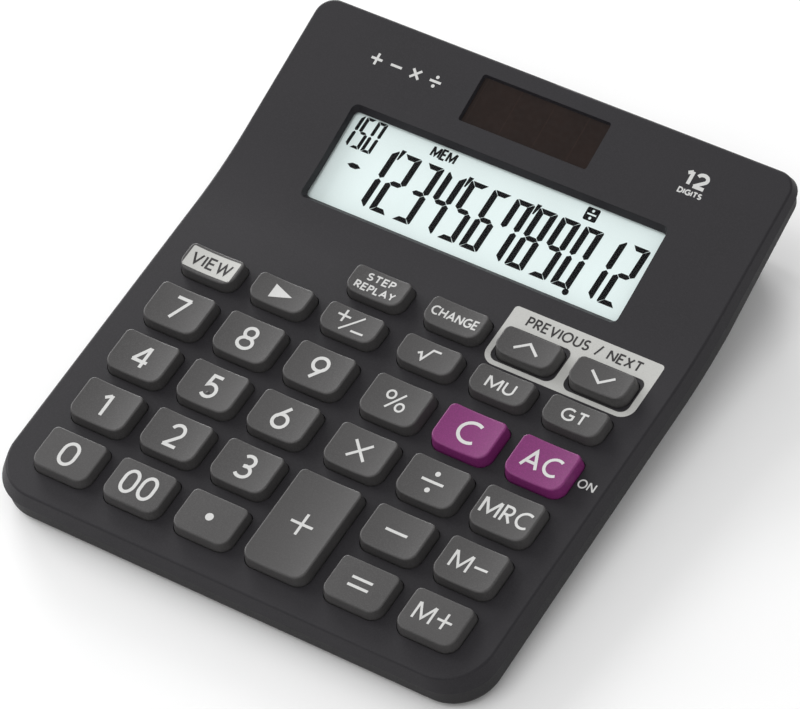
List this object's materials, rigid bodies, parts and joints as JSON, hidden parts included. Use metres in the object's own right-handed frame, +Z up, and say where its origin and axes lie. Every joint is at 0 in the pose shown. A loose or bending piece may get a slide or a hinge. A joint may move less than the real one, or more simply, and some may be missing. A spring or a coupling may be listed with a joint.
{
  "type": "desk calculator",
  "caption": "Mini desktop calculator: flat keyboard of sprung keys, tilted number display and solar strip in a wedge-shaped two-part case on rubber feet.",
  "frame": {"origin": "on the desk under the middle of the case", "axes": "+X to the user's right, +Y to the display end, +Z up"},
  "size_m": [0.126, 0.1392, 0.0284],
  "materials": {
    "case_plastic": "fine satin texture",
    "cover_plastic": "fine satin texture",
    "key_plastic": "satin",
    "key_purple": "satin",
    "label_foil": "matt film",
    "clear_plastic": "clear",
    "lcd_glass": "smooth",
    "inner_plastic": "moulded",
    "screw_steel": "zinc plated",
    "ribbon_film": "thin film",
    "solar_glass": "dark glass",
    "wire_insulation": "smooth",
    "key_rubber": "silicone",
    "board": "solder mask",
    "chip_resin": "cast resin",
    "capacitor_can": "sleeved can",
    "cell_steel": "nickel plated",
    "contact_metal": "spring strip",
    "foot_rubber": "matt"
  },
  "bodies": {
    "case": {"top_case": "case_plastic", "rear_cover": "cover_plastic", "rating_label": "label_foil", "display_window": "clear_plastic", "lcd_panel": "lcd_glass", "lcd_frame": "inner_plastic", "lcd_screws": "screw_steel", "lcd_ribbon": "ribbon_film", "solar_cell": "solar_glass", "solar_leads": "wire_insulation", "keypad_sheet": "key_rubber", "main_board": "board", "controller_chip": "chip_resin", "capacitor": "capacitor_can", "board_screws": "screw_steel", "button_cell": "cell_steel", "cell_lower_contact": "contact_metal", "cell_upper_contact": "contact_metal", "battery_leads": "wire_insulation", "case_screws": "screw_steel", "rubber_feet": "foot_rubber"},
    "key_0": {"key_0": "key_plastic"},
    "key_00": {"key_00": "key_plastic"},
    "key_point": {"key_point": "key_plastic"},
    "key_equals": {"key_equals": "key_plastic"},
    "key_memory_plus": {"key_memory_plus": "key_plastic"},
    "key_1": {"key_1": "key_plastic"},
    "key_2": {"key_2": "key_plastic"},
    "key_3": {"key_3": "key_plastic"},
    "key_minus": {"key_minus": "key_plastic"},
    "key_memory_minus": {"key_memory_minus": "key_plastic"},
    "key_4": {"key_4": "key_plastic"},
    "key_5": {"key_5": "key_plastic"},
    "key_6": {"key_6": "key_plastic"},
    "key_times": {"key_times": "key_plastic"},
    "key_divide": {"key_divide": "key_plastic"},
    "key_memory_recall": {"key_memory_recall": "key_plastic"},
    "key_7": {"key_7": "key_plastic"},
    "key_8": {"key_8": "key_plastic"},
    "key_9": {"key_9": "key_plastic"},
    "key_percent": {"key_percent": "key_plastic"},
    "key_clear": {"key_clear": "key_purple"},
    "key_all_clear": {"key_all_clear": "key_purple"},
    "key_view": {"key_view": "key_plastic"},
    "key_backspace": {"key_backspace": "key_plastic"},
    "key_sign": {"key_sign": "key_plastic"},
    "key_root": {"key_root": "key_plastic"},
    "key_markup": {"key_markup": "key_plastic"},
    "key_grand_total": {"key_grand_total": "key_plastic"},
    "key_replay": {"key_replay": "key_plastic"},
    "key_edit": {"key_edit": "key_plastic"},
    "key_step_up": {"key_step_up": "key_plastic"},
    "key_step_down": {"key_step_down": "key_plastic"},
    "key_plus": {"key_plus": "key_plastic"}
  },
  "joints": [
    {"name": "press_0", "type": "slide", "parent": "case", "child": "key_0", "axis": [0, 0.0645, -0.9979], "range_m": [0, 0.0013], "stiffness_N_per_m": 220, "springref_m": -0.0015, "deforming": ["keypad_sheet"]},
    {"name": "press_00", "type": "slide", "parent": "case", "child": "key_00", "axis": [0, 0.0645, -0.9979], "range_m": [0, 0.0013], "stiffness_N_per_m": 220, "springref_m": -0.0015, "deforming": ["keypad_sheet"]},
    {"name": "press_point", "type": "slide", "parent": "case", "child": "key_point", "axis": [0, 0.0645, -0.9979], "range_m": [0, 0.0013], "stiffness_N_per_m": 220, "springref_m": -0.0015, "deforming": ["keypad_sheet"]},
    {"name": "press_equals", "type": "slide", "parent": "case", "child": "key_equals", "axis": [0, 0.0645, -0.9979], "range_m": [0, 0.0013], "stiffness_N_per_m": 220, "springref_m": -0.0015, "deforming": ["keypad_sheet"]},
    {"name": "press_memory_plus", "type": "slide", "parent": "case", "child": "key_memory_plus", "axis": [0, 0.0645, -0.9979], "range_m": [0, 0.0013], "stiffness_N_per_m": 220, "springref_m": -0.0015, "deforming": ["keypad_sheet"]},
    {"name": "press_1", "type": "slide", "parent": "case", "child": "key_1", "axis": [0, 0.0645, -0.9979], "range_m": [0, 0.0013], "stiffness_N_per_m": 220, "springref_m": -0.0015, "deforming": ["keypad_sheet"]},
    {"name": "press_2", "type": "slide", "parent": "case", "child": "key_2", "axis": [0, 0.0645, -0.9979], "range_m": [0, 0.0013], "stiffness_N_per_m": 220, "springref_m": -0.0015, "deforming": ["keypad_sheet"]},
    {"name": "press_3", "type": "slide", "parent": "case", "child": "key_3", "axis": [0, 0.0645, -0.9979], "range_m": [0, 0.0013], "stiffness_N_per_m": 220, "springref_m": -0.0015, "deforming": ["keypad_sheet"]},
    {"name": "press_minus", "type": "slide", "parent": "case", "child": "key_minus", "axis": [0, 0.0645, -0.9979], "range_m": [0, 0.0013], "stiffness_N_per_m": 220, "springref_m": -0.0015, "deforming": ["keypad_sheet"]},
    {"name": "press_memory_minus", "type": "slide", "parent": "case", "child": "key_memory_minus", "axis": [0, 0.0645, -0.9979], "range_m": [0, 0.0013], "stiffness_N_per_m": 220, "springref_m": -0.0015, "deforming": ["keypad_sheet"]},
    {"name": "press_4", "type": "slide", "parent": "case", "child": "key_4", "axis": [0, 0.0645, -0.9979], "range_m": [0, 0.0013], "stiffness_N_per_m": 220, "springref_m": -0.0015, "deforming": ["keypad_sheet"]},
    {"name": "press_5", "type": "slide", "parent": "case", "child": "key_5", "axis": [0, 0.0645, -0.9979], "range_m": [0, 0.0013], "stiffness_N_per_m": 220, "springref_m": -0.0015, "deforming": ["keypad_sheet"]},
    {"name": "press_6", "type": "slide", "parent": "case", "child": "key_6", "axis": [0, 0.0645, -0.9979], "range_m": [0, 0.0013], "stiffness_N_per_m": 220, "springref_m": -0.0015, "deforming": ["keypad_sheet"]},
    {"name": "press_times", "type": "slide", "parent": "case", "child": "key_times", "axis": [0, 0.0645, -0.9979], "range_m": [0, 0.0013], "stiffness_N_per_m": 220, "springref_m": -0.0015, "deforming": ["keypad_sheet"]},
    {"name": "press_divide", "type": "slide", "parent": "case", "child": "key_divide", "axis": [0, 0.0645, -0.9979], "range_m": [0, 0.0013], "stiffness_N_per_m": 220, "springref_m": -0.0015, "deforming": ["keypad_sheet"]},
    {"name": "press_memory_recall", "type": "slide", "parent": "case", "child": "key_memory_recall", "axis": [0, 0.0645, -0.9979], "range_m": [0, 0.0013], "stiffness_N_per_m": 220, "springref_m": -0.0015, "deforming": ["keypad_sheet"]},
    {"name": "press_7", "type": "slide", "parent": "case", "child": "key_7", "axis": [0, 0.0645, -0.9979], "range_m": [0, 0.0013], "stiffness_N_per_m": 220, "springref_m": -0.0015, "deforming": ["keypad_sheet"]},
    {"name": "press_8", "type": "slide", "parent": "case", "child": "key_8", "axis": [0, 0.0645, -0.9979], "range_m": [0, 0.0013], "stiffness_N_per_m": 220, "springref_m": -0.0015, "deforming": ["keypad_sheet"]},
    {"name": "press_9", "type": "slide", "parent": "case", "child": "key_9", "axis": [0, 0.0645, -0.9979], "range_m": [0, 0.0013], "stiffness_N_per_m": 220, "springref_m": -0.0015, "deforming": ["keypad_sheet"]},
    {"name": "press_percent", "type": "slide", "parent": "case", "child": "key_percent", "axis": [0, 0.0645, -0.9979], "range_m": [0, 0.0013], "stiffness_N_per_m": 220, "springref_m": -0.0015, "deforming": ["keypad_sheet"]},
    {"name": "press_clear", "type": "slide", "parent": "case", "child": "key_clear", "axis": [0, 0.0645, -0.9979], "range_m": [0, 0.0013], "stiffness_N_per_m": 220, "springref_m": -0.0015, "deforming": ["keypad_sheet"]},
    {"name": "press_all_clear", "type": "slide", "parent": "case", "child": "key_all_clear", "axis": [0, 0.0645, -0.9979], "range_m": [0, 0.0013], "stiffness_N_per_m": 220, "springref_m": -0.0015, "deforming": ["keypad_sheet"]},
    {"name": "press_view", "type": "slide", "parent": "case", "child": "key_view", "axis": [0, 0.0645, -0.9979], "range_m": [0, 0.0013], "stiffness_N_per_m": 220, "springref_m": -0.0015, "deforming": ["keypad_sheet"]},
    {"name": "press_backspace", "type": "slide", "parent": "case", "child": "key_backspace", "axis": [0, 0.0645, -0.9979], "range_m": [0, 0.0013], "stiffness_N_per_m": 220, "springref_m": -0.0015, "deforming": ["keypad_sheet"]},
    {"name": "press_sign", "type": "slide", "parent": "case", "child": "key_sign", "axis": [0, 0.0645, -0.9979], "range_m": [0, 0.0013], "stiffness_N_per_m": 220, "springref_m": -0.0015, "deforming": ["keypad_sheet"]},
    {"name": "press_root", "type": "slide", "parent": "case", "child": "key_root", "axis": [0, 0.0645, -0.9979], "range_m": [0, 0.0013], "stiffness_N_per_m": 220, "springref_m": -0.0015, "deforming": ["keypad_sheet"]},
    {"name": "press_markup", "type": "slide", "parent": "case", "child": "key_markup", "axis": [0, 0.0645, -0.9979], "range_m": [0, 0.0013], "stiffness_N_per_m": 220, "springref_m": -0.0015, "deforming": ["keypad_sheet"]},
    {"name": "press_grand_total", "type": "slide", "parent": "case", "child": "key_grand_total", "axis": [0, 0.0645, -0.9979], "range_m": [0, 0.0013], "stiffness_N_per_m": 220, "springref_m": -0.0015, "deforming": ["keypad_sheet"]},
    {"name": "press_replay", "type": "slide", "parent": "case", "child": "key_replay", "axis": [0, 0.0645, -0.9979], "range_m": [0, 0.0013], "stiffness_N_per_m": 220, "springref_m": -0.0015, "deforming": ["keypad_sheet"]},
    {"name": "press_edit", "type": "slide", "parent": "case", "child": "key_edit", "axis": [0, 0.0645, -0.9979], "range_m": [0, 0.0013], "stiffness_N_per_m": 220, "springref_m": -0.0015, "deforming": ["keypad_sheet"]},
    {"name": "press_step_up", "type": "slide", "parent": "case", "child": "key_step_up", "axis": [0, 0.0645, -0.9979], "range_m": [0, 0.0013], "stiffness_N_per_m": 220, "springref_m": -0.0015, "deforming": ["keypad_sheet"]},
    {"name": "press_step_down", "type": "slide", "parent": "case", "child": "key_step_down", "axis": [0, 0.0645, -0.9979], "range_m": [0, 0.0013], "stiffness_N_per_m": 220, "springref_m": -0.0015, "deforming": ["keypad_sheet"]},
    {"name": "press_plus", "type": "slide", "parent": "case", "child": "key_plus", "axis": [0, 0.0645, -0.9979], "range_m": [0, 0.0013], "stiffness_N_per_m": 220, "springref_m": -0.0015, "deforming": ["keypad_sheet"]}
  ]
}
